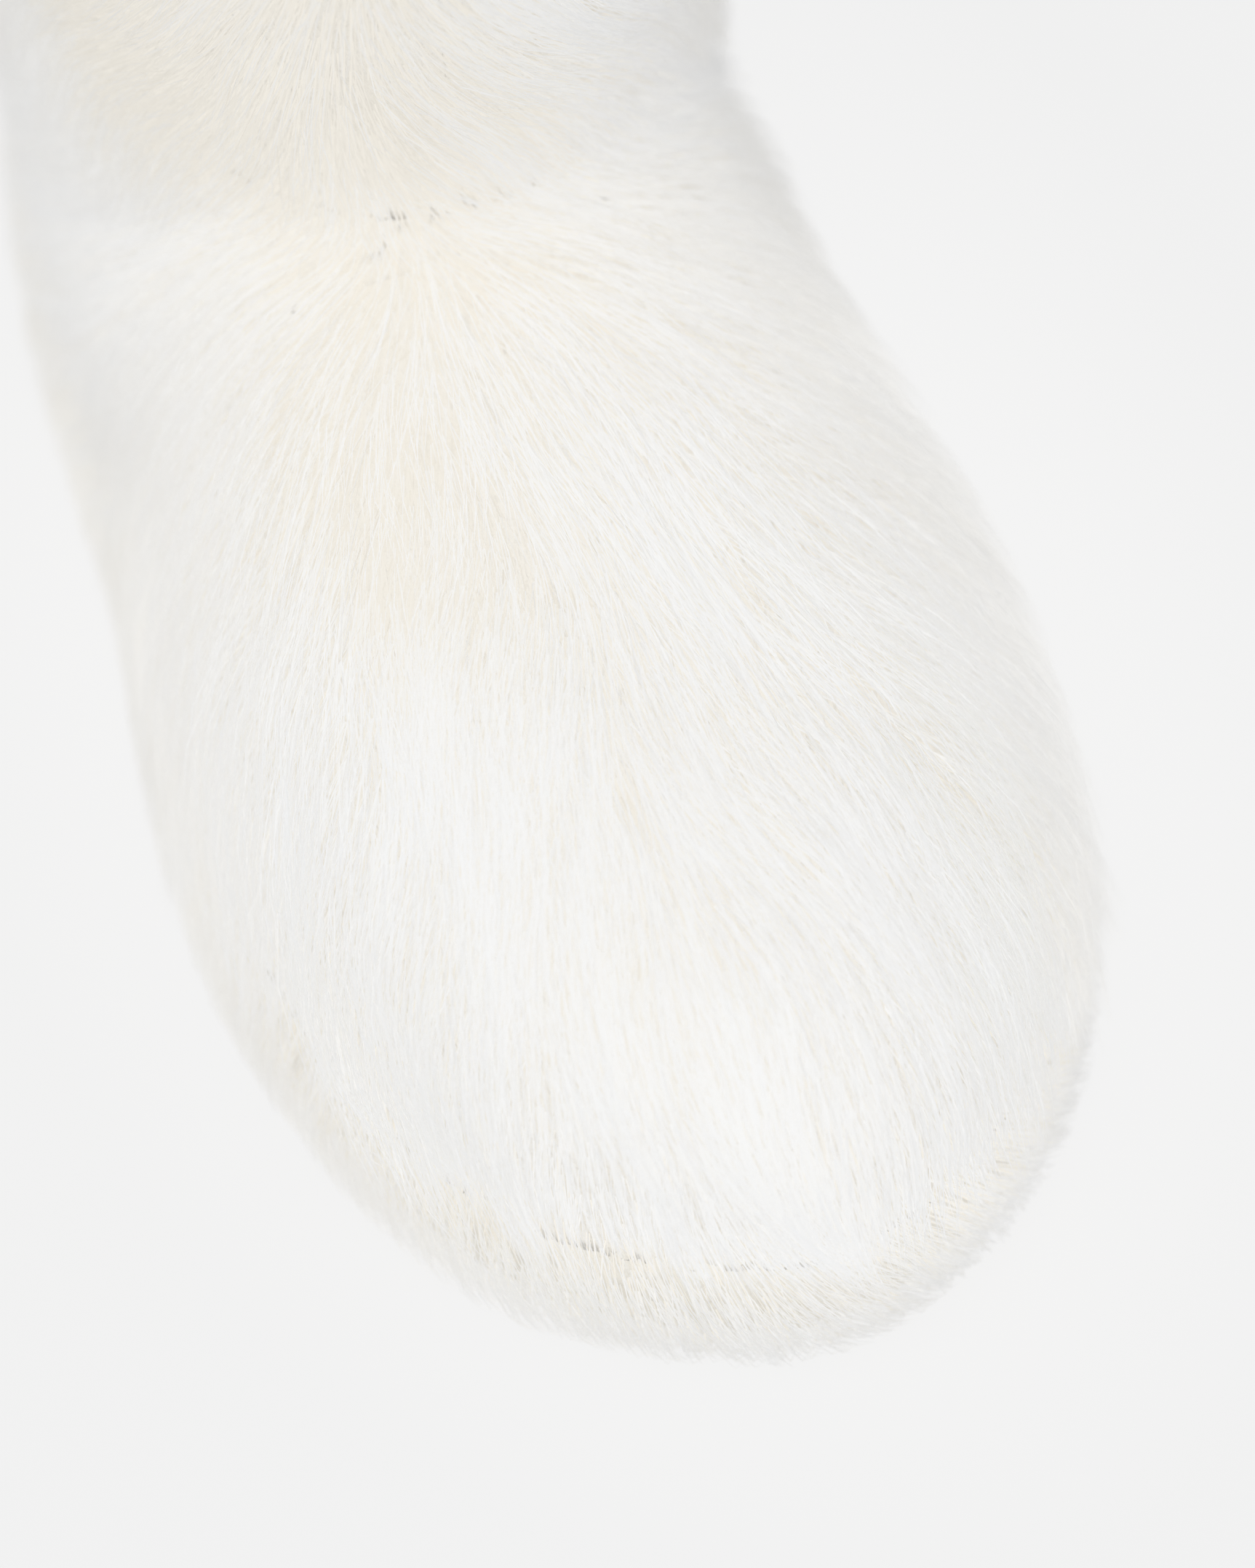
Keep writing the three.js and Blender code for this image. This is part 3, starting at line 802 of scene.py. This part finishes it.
# Where the pile is creamier, partly its own cream tone and partly painted shade in the crease between foot
# and shaft and along the seam under the fringe: centre, reach (m) and strength.
CREAM_AND_SHADE_PATCHES = [
    ((-0.026, -0.018, 0.080), 0.020, 0.6),
    ((-0.018, -0.038, 0.080), 0.015, 0.6),
    ((-0.036, 0.030, 0.125), 0.030, 1.2),
    ((-0.010, 0.004, 0.100), 0.022, 0.6),
    ((-0.045, -0.105, 0.030), 0.016, 0.4),
    ((0.005, -0.138, 0.028), 0.012, 0.4),
    ((0.040, -0.118, 0.028), 0.014, 0.4),
    ((0.055, -0.090, 0.030), 0.012, 0.4),
]


def cream_and_shade_near(points):
    cream = np.zeros(len(points))
    for centre, reach, strength in CREAM_AND_SHADE_PATCHES:
        away = np.linalg.norm(points - centre, axis=1) / reach
        cream += strength * np.exp(-away ** 2)
    return cream


WHITER_PER_SEGMENT = 0.42
CREAM_FROM, WARM_FROM, WHITE_FROM = 0.55, 0.12, -0.55


def hair_shades(roots, creaminess):
    """A shade for each segment of each hair: creamy at the root, whiter to the tip, warmer in patches and
    under the fringe, partly as painted shade.
    """
    patch = 0.5 * wobble(roots, 22 * MM, 7.0) + 0.25 * wobble(roots, 6 * MM, 2.0)
    # Painted shade: the band's hairs just under the fringe's overhang are creamier.
    shade_under_fringe = ramp(roots[:, 2], BAND_FUR_TOP - 11 * MM, BAND_FUR_TOP - 3 * MM)
    shade_under_fringe *= 1 - ramp(roots[:, 2], BAND_FUR_TOP - 1 * MM, BAND_FUR_TOP)
    level = creaminess + 0.35 * patch + cream_and_shade_near(roots) + 0.35 * shade_under_fringe
    level += RNG.normal(0, 0.14, len(roots))
    shades = np.empty((len(roots), SEGMENTS), int)
    for k in range(SEGMENTS):
        tone = level - WHITER_PER_SEGMENT * k
        steps = [tone > CREAM_FROM, tone > WARM_FROM, tone > WHITE_FROM]
        shades[:, k] = np.select(steps, [CREAM, WARM, WHITE], COOL)
    return shades


# Each coat's hairs per mm2, length, height of the tips and root radius (mm), creaminess, the area of a lock
# (mm2) and how tightly its hairs gather.
COATS = {
    "foot": {
        "undercoat": (0.17, 14, 5.4, 0.17, 0.55, 26, 0.35),
        "midcoat": (0.27, 23, 8.0, 0.155, 0.30, 28, 0.42),
        "guard_hair": (0.31, 29, 10.0, 0.122, 0.12, 34, 0.48),
    },
    "shaft": {
        "undercoat": (0.17, 13, 5.4, 0.17, 0.60, 26, 0.35),
        "midcoat": (0.27, 21, 8.0, 0.155, 0.35, 34, 0.50),
        "guard_hair": (0.31, 26, 9.6, 0.122, 0.18, 46, 0.60),
    },
    "band": {
        "undercoat": (0.24, 8, 3.8, 0.165, 0.60, 16, 0.30),
        "guard_hair": (0.58, 13, 5.4, 0.122, 0.30, 20, 0.42),
    },
}


def region_of(node):
    if node == BAND_NODE:
        return "band"
    return "shaft" if node.startswith("shaft") else "foot"


def settle(piece, node):
    """Puts a fur piece on the rearfoot, or leaves it unparented in place where it spans a joint."""
    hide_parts(node)
    if node in ("vamp_fur", BAND_NODE):
        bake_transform(piece)
    elif node.startswith("shaft"):
        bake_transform(piece)
    else:
        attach(piece, "rearfoot")


LENGTH_SPREAD = (0.72, 1.12)
HEIGHT_SPREAD = (0.7, 1.1)
RADIUS_SPREAD = (0.7, 1.15)


def show_to_camera_only(piece):
    """Keeps the hairs out of shadows and bounced light, which the glow stands in for."""
    piece.visible_shadow = False
    piece.visible_diffuse = False
    piece.visible_glossy = False


def grow_coat(node, coat, values, tufts):
    """One coat of one panel's pile: the hairs start on the skin, gather into locks and end in the tufts."""
    per_mm2, length, height, radius, creaminess, lock_area, tightness = values
    roots, normals = scatter_roots(node, per_mm2)
    count = len(roots)
    lengths = length * MM * RNG.uniform(*LENGTH_SPREAD, count)
    heights = height * MM * RNG.uniform(*HEIGHT_SPREAD, count)
    region = region_of(node)
    path, outward = grow(region, roots, normals, lengths, heights)
    area = AREAS[(FACE_NODES == node) & COVERED].sum() / MM ** 2
    leaders = np.arange(max(8, int(area / lock_area)))
    gather_locks(path, leaders, tightness * RNG.uniform(0.5, 1.0, count))
    if region == "foot":
        path = trim_fringe(path, *tufts)
    radii = radius * MM * RNG.uniform(*RADIUS_SPREAD, count)
    shades = hair_shades(roots, creaminess)
    materials = SHADED_SHAFT_HAIR if region == "shaft" else FOOT_HAIR
    piece = hair_mesh(f"{node}_{coat}", path, outward, radii, shades, materials)
    show_to_camera_only(piece)
    settle(piece, node)


BACKING_DEPTH = 0.3 * MM
BACKING_REACH = 7 * MM
BACKING_VOXEL = 1.8 * MM
RIM_SWELL = 1.8 * MM
RIPPLE = 0.35 * MM
RIPPLE_SIZE = 2.2 * MM


def under_skin(points, normals):
    """Each point's place just under the skin, its depth below that place, and how far it faces outwards."""
    feet, outward = snap_to_skin(points)
    places = feet - outward * BACKING_DEPTH
    below = np.sum((places - points) * outward, axis=1)
    return places, below, np.sum(normals * outward, axis=1)


def fur_backing(node):
    """The panel's cloth and underwool, its face just under the skin and its rims reaching its neighbours."""
    piece = remesh(node_copy(node, f"{node}_backing"), BACKING_VOXEL, smoothing=3)
    points, normals = points_of(piece.data), normals_of(piece.data)
    _, below, facing = under_skin(points, normals)
    rim = np.clip(1 - np.abs(facing), 0, 1) * (below < BACKING_REACH)
    points += normals * (RIM_SWELL * rim)[:, None]
    places, below, facing = under_skin(points, normals)
    raised = (below < 0) | ((facing > 0.5) & (below < BACKING_REACH))
    points[raised] = places[raised]
    points += normals * (RIPPLE * wobble(points, RIPPLE_SIZE, 3.0))[:, None]
    set_points(piece.data, points)
    piece.data.shade_smooth()
    piece.data.materials.append(BAND_UNDERCOAT if node == BAND_NODE else UNDERCOAT)
    settle(piece, node)


for fur_node in (*FUR_NODES, BAND_NODE):
    fur_backing(fur_node)
    panel_tufts = fringe_tufts(fur_node)
    for coat_name, coat_values in COATS[region_of(fur_node)].items():
        grow_coat(fur_node, coat_name, coat_values, panel_tufts)
discard(SKIN)

# ---- the layers inside and the sole ----

ACROSS_BALL = ("forefoot", "rearfoot", FLEX_FRONT, FLEX_REAR)
ACROSS_ANKLE = ("rearfoot", "shaft", LEAN_FOOT, LEAN_TOP)


def soften(node, material, voxel, smoothing=4, nap=0.0, keep=1.0, across=None, body=None):
    """A layer from its CAD solid: rounded edges, an even mesh and, for plush, a curly face."""
    piece = remesh(node_copy(node, f"{node}_soft"), voxel * MM, smoothing, keep)
    if nap:
        points, normals = points_of(piece.data), normals_of(piece.data)
        curls = wobble(points, 1.5 * MM, 5.0) + 0.6 * wobble(points, 3.1 * MM, 9.0)
        set_points(piece.data, points + normals * (nap * MM * curls)[:, None])
    piece.data.shade_smooth()
    piece.data.materials.append(material)
    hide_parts(node)
    if across:
        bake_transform(piece)
    else:
        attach(piece, body)


soften("midsole", EVA, 2.0, across=ACROSS_BALL)
soften("memory_foam_footbed", FOAM, 1.4, across=ACROSS_BALL)
soften("plush_sock_liner", PLUSH, 1.0, nap=0.4, across=ACROSS_BALL)
soften("forefoot_sock_cloth", KNIT, 0.8, 1, keep=0.3, across=ACROSS_BALL)
soften("shank_board", BOARD, 0.8, 1, keep=0.2, body="rearfoot")
soften("vamp_foam", FOAM, 1.6, 2, across=ACROSS_BALL)
soften("quarter_foam", FOAM, 1.6, 2, body="rearfoot")
soften("shaft_foam", FOAM, 1.6, 2, across=ACROSS_ANKLE)
soften("vamp_lining", PLUSH, 1.4, 1, nap=0.45, across=ACROSS_BALL)
soften("quarter_lining", PLUSH, 1.4, 1, nap=0.45, body="rearfoot")
soften("shaft_lining", PLUSH, 1.4, 1, nap=0.45, across=ACROSS_ANKLE)
soften("toe_tread", RUBBER, 0.8, 1, keep=0.4, across=ACROSS_BALL)
soften("ball_tread", RUBBER, 0.8, 1, keep=0.4, across=ACROSS_BALL)
soften("heel_tread", RUBBER, 0.8, 1, keep=0.4, body="rearfoot")
soften("heel_counter", STIFFENER, 0.7, 1, keep=0.3, body="rearfoot")
soften("toe_puff", STIFFENER, 0.7, 1, keep=0.4, body="forefoot")
soften("care_label", SATIN, 0.4, 1, body="shaft")


def tube_ring(centre, side, up, section):
    """A closed tube round a closed line; section holds each corner's distances along side and up."""
    count = len(centre)
    rings = [centre + side * across[:, None] + up * high[:, None] for across, high in section]
    faces = []
    for i in range(len(rings)):
        for j in range(count):
            next_i, next_j = (i + 1) % len(rings), (j + 1) % count
            faces.append((i * count + j, i * count + next_j, next_i * count + next_j, next_i * count + j))
    return np.concatenate(rings), faces


STITCHES = 176
THREAD_RADIUS = 0.5 * MM
THREAD_DIP = 0.35 * MM


def lockstitch():
    """The thread that joins upper and sole: a cord that dips in and out under the pile once a stitch."""
    count = STITCHES * 4
    turn = np.arange(count) / count
    base = outline_ring(UPPER_INSET + ROOT_DEPTH + 0.8 * MM, UPPER_FOOT + 1.0 * MM)
    share = np.append(np.arange(RING_POINTS), RING_POINTS) / RING_POINTS
    closed = np.vstack([base, base[:1]])
    centre = np.column_stack([np.interp(turn, share, closed[:, axis]) for axis in range(3)])
    centre[:, 2] += THREAD_DIP * np.sin(2 * math.pi * turn * STITCHES)
    along = unit(np.roll(centre, -1, axis=0) - np.roll(centre, 1, axis=0))
    side = unit(np.cross(along, (0, 0, 1)))
    flat = np.full(count, THREAD_RADIUS)
    section = [(flat * math.cos(a), flat * math.sin(a)) for a in np.arange(6) * math.pi / 3]
    piece = make_object("feather_line_lockstitch", *tube_ring(centre, side, np.cross(side, along), section))
    piece.data.materials.append(THREAD)
    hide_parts("feather_line_stitching")
    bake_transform(piece)


COLLAR_RIBS = 118
COLLAR_WALL = 10.5 * MM
COLLAR_TUCK = 1.4 * MM
COLLAR_LOWERED = 0.9 * MM
COLLAR_CORNERS = 30
RIB_DEPTH = 0.5 * MM


def collar():
    """A padded roll of rib knit round the opening, each rib standing proud of the valleys beside it."""
    count = COLLAR_RIBS * 7
    turn = 2 * math.pi * np.arange(count) / count
    low, high = COLLAR_LOW, COLLAR_HIGH
    half_width = high[0] - COLLAR_TUCK - COLLAR_WALL / 2
    half_length = (high[1] - low[1]) / 2 - COLLAR_TUCK - COLLAR_WALL / 2
    middle = (high + low) / 2
    sag = 0.5 * MM * np.sin(3 * turn + 0.6) + 0.3 * MM * np.sin(7 * turn)
    centre = np.column_stack([
        half_width * np.sin(turn),
        middle[1] - half_length * np.cos(turn),
        middle[2] - COLLAR_LOWERED + 0.6 * sag,
    ])
    along = unit(np.roll(centre, -1, axis=0) - np.roll(centre, 1, axis=0))
    side = unit(np.cross(along, (0, 0, 1)))
    up = np.cross(side, along)
    rib = RIB_DEPTH * (np.abs(np.cos(turn * COLLAR_RIBS / 2)) ** 0.7 - 0.6)
    half_height = (high[2] - low[2]) / 2 - COLLAR_LOWERED
    section = []
    for angle in np.linspace(0, 2 * math.pi, COLLAR_CORNERS, endpoint=False):
        c, s = math.cos(angle), math.sin(angle)
        across = math.copysign(abs(c) ** 0.8, c) * COLLAR_WALL / 2
        tall = math.copysign(abs(s) ** 0.8, s) * half_height
        section.append((across + c * rib, tall + s * rib))
    piece = make_object("collar_rib_knit", *tube_ring(centre, side, up, section))
    piece.data.materials.append(KNIT)
    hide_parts("collar_binding")
    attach(piece, "shaft")


LOOP_LOW, LOOP_HIGH = low_high("heel_pull_loop")
LOOP_SEWN = 5 * MM
LOOP_OPENS = 11 * MM
TAPE_THICK = 1.5 * MM


def tape_line():
    """The tape's middle line from one sewn end over the top to the other, as y and z."""
    half = (LOOP_HIGH[1] - LOOP_LOW[1] - TAPE_THICK) / 2
    middle = (LOOP_HIGH[1] + LOOP_LOW[1]) / 2
    spring = LOOP_HIGH[2] - TAPE_THICK / 2 - half
    heights = np.linspace(LOOP_LOW[2] - LOOP_SEWN, spring, 18)
    opened = ramp(heights, LOOP_LOW[2], LOOP_LOW[2] + LOOP_OPENS)
    legs = []
    for side in (-1, 1):
        sewn_y = LOOP_HIGH[1] - 1.1 * TAPE_THICK + side * 0.55 * TAPE_THICK
        legs.append(np.column_stack([sewn_y + (middle + side * half - sewn_y) * opened, heights]))
    turn = np.linspace(math.pi, 0, 13)[1:-1]
    arch = np.column_stack([middle + half * np.cos(turn), spring + half * np.sin(turn)])
    return np.concatenate([legs[0], arch, legs[1][::-1]])


def pull_loop():
    """A folded strip of webbing: both ends are sewn into the collar together, and it opens above them."""
    line = tape_line()
    along = unit(np.gradient(line, axis=0))
    half_width = (LOOP_HIGH[0] - LOOP_LOW[0]) / 2
    rings = []
    for (y, z), (dy, dz) in zip(line, along):
        ring = []
        for angle in np.linspace(0, 2 * math.pi, 20, endpoint=False):
            c, s = math.cos(angle), math.sin(angle)
            x = math.copysign(abs(c) ** 0.35, c) * half_width
            out = math.copysign(abs(s) ** 0.6, s) * TAPE_THICK / 2
            ring.append((x, y + dz * out, z - dy * out))
        rings.append(np.array(ring))
    piece = loft("heel_pull_tape", rings)
    piece.data.shade_smooth()
    piece.data.materials.append(WEBBING)
    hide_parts("heel_pull_loop")
    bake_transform(piece)


collar()
pull_loop()
lockstitch()

# ---- floor, light and camera ----

FLOOR_SEEN = 0.773
FLOOR_HALO = 0.075
FLOOR_BOUNCE = 0.48
FLOOR_SIZE = 8.0
FLOOR_LOWERED = 0.2 * MM
HALO_PLACE = {"Location": (-0.18, 0, 0), "Scale": (9.0, 5.5, 1)}
SKY_FROM = (-0.30, -0.25, 0.92)
SKY_BRIGHT = 0.87
SKY_DIM = 0.06
BACKDROP = 0.888


def floor():
    """A pale sweep that glows to the camera, so that it stays light in the object's shade; a painted halo of
    light makes it a little brighter round the slipper.
    """
    size = FLOOR_SIZE
    low = -FLOOR_LOWERED
    corners = [(-size, -size, low), (size, -size, low), (size, size, low), (-size, size, low)]
    piece = make_object("floor", corners, [(0, 1, 2, 3)])
    material = principled("floor", (0.12, 0.12, 0.12), 0.9)
    nodes = Nodes(material)
    # Painted light: the halo brightens the floor round the slipper.
    place = nodes.add("ShaderNodeMapping", {"Vector": nodes.place, **HALO_PLACE}).outputs["Vector"]
    near = nodes.add("ShaderNodeTexGradient", {"Vector": place}, gradient_type="SPHERICAL").outputs["Fac"]
    bright = nodes.math("ADD", nodes.math("MULTIPLY", near, FLOOR_HALO), FLOOR_SEEN)
    seen = nodes.add("ShaderNodeLightPath").outputs["Is Camera Ray"]
    glow = nodes.add("ShaderNodeMapRange", {"Value": seen, "To Min": FLOOR_BOUNCE, "To Max": bright})
    nodes.shader.inputs["Emission Color"].default_value = (1, 1, 1, 1)
    nodes.tree.links.new(glow.outputs["Result"], nodes.shader.inputs["Emission Strength"])
    piece.data.materials.append(material)
    return piece


def world():
    """A white studio, brightest overhead and a little to the slipper's outer side and front."""
    studio = bpy.data.worlds.new("studio")
    bpy.context.scene.world = studio
    studio.use_nodes = True
    studio.cycles.sampling_method = "NONE"
    tree = studio.node_tree
    background = tree.nodes["Background"]
    background.inputs["Color"].default_value = (0.985, 0.992, 1.0, 1)
    place = tree.nodes.new("ShaderNodeTexCoord")
    facing = tree.nodes.new("ShaderNodeVectorMath")
    facing.operation = "DOT_PRODUCT"
    facing.inputs[1].default_value = SKY_FROM
    span = tree.nodes.new("ShaderNodeMapRange")
    span.inputs["From Min"].default_value = -0.4
    span.inputs["To Min"].default_value = SKY_DIM
    span.inputs["To Max"].default_value = SKY_BRIGHT
    seen = tree.nodes.new("ShaderNodeLightPath")
    strength = tree.nodes.new("ShaderNodeMix")
    strength.inputs["B"].default_value = BACKDROP
    tree.links.new(place.outputs["Generated"], facing.inputs[0])
    tree.links.new(facing.outputs["Value"], span.inputs["Value"])
    tree.links.new(seen.outputs["Is Camera Ray"], strength.inputs["Factor"])
    tree.links.new(span.outputs["Result"], strength.inputs["A"])
    tree.links.new(strength.outputs["Result"], background.inputs["Strength"])


def area_light(name, place, target, size, power, color):
    """A round soft lamp, size metres across, aimed at a point of the slipper."""
    data = bpy.data.lights.new(name, "AREA")
    data.shape = "DISK"
    data.size = size
    data.energy = power
    data.color = color
    lamp = bpy.data.objects.new(name, data)
    lamp.location = place
    lamp.rotation_euler = (Vector(target) - Vector(place)).to_track_quat("-Z", "Y").to_euler()
    bpy.context.scene.collection.objects.link(lamp)


# The photograph's viewpoint: steeply from above, in front of the toe and a little to the outer side.
VIEW_AZIMUTH = math.radians(-18.0)
VIEW_ELEVATION = math.radians(56.0)
VIEW_DISTANCE = 1.028
VIEW_TARGET = Vector((3.26 * MM, -55.2 * MM, 30 * MM))
LENS_MM = 162.0
SENSOR_MM = 36.0
F_STOP = 5.2
FOCUS_POINT = Vector((0, FLEX_Y - 10 * MM, 70 * MM))
SHARP_STOP = 128
CLOSE_UP = 1.3
FAR_OFF = 1.6


def focus(lens, back, ground):
    """Opens the lens for the close-up only: seen from farther off, the whole slipper is sharp.

    The f-stop follows a curve over the distance from the lens to the middle of the ground.
    """
    blur = lens.data.dof
    blur.use_dof = True
    blur.focus_distance = (lens.location - FOCUS_POINT).dot(back)
    curve = blur.driver_add("aperture_fstop")
    curve.driver.type = "AVERAGE"
    away = curve.driver.variables.new()
    away.type = "LOC_DIFF"
    away.targets[0].id = lens
    away.targets[1].id = ground
    curve.modifiers.remove(curve.modifiers[0])
    for distance, stop in ((CLOSE_UP, F_STOP), (FAR_OFF, SHARP_STOP)):
        curve.keyframe_points.insert(distance, stop).interpolation = "LINEAR"
    curve.extrapolation = "CONSTANT"


def camera(ground):
    """The camera at the photograph's viewpoint."""
    back = Vector((
        math.sin(VIEW_AZIMUTH) * math.cos(VIEW_ELEVATION),
        -math.cos(VIEW_AZIMUTH) * math.cos(VIEW_ELEVATION),
        math.sin(VIEW_ELEVATION),
    ))
    data = bpy.data.cameras.new("camera")
    data.sensor_width = SENSOR_MM
    data.lens = LENS_MM
    lens = bpy.data.objects.new("camera", data)
    lens.location = VIEW_TARGET + back * VIEW_DISTANCE
    lens.rotation_euler = (-back).to_track_quat("-Z", "Y").to_euler()
    bpy.context.scene.collection.objects.link(lens)
    bpy.context.scene.camera = lens
    focus(lens, back, ground)


KEY_LIGHT = {"place": (-0.4, -0.35, 1.9), "target": (0, -0.03, 0.05), "size": 2.0, "power": 8.7}
FILL_LIGHT = {"place": (0.3, -0.6, 0.12), "target": (0.03, -0.12, 0.03), "size": 0.4, "power": 0.42}

ground = floor()
world()
area_light("key", **KEY_LIGHT, color=(1.0, 0.985, 0.965))
area_light("fill", **FILL_LIGHT, color=(1.0, 0.995, 0.99))
camera(ground)
bpy.context.scene.view_settings.view_transform = "Standard"

# Spatial splits make rays through many thin, slanted hairs faster; the picture stays the same.
bpy.context.scene.cycles.debug_use_spatial_splits = True
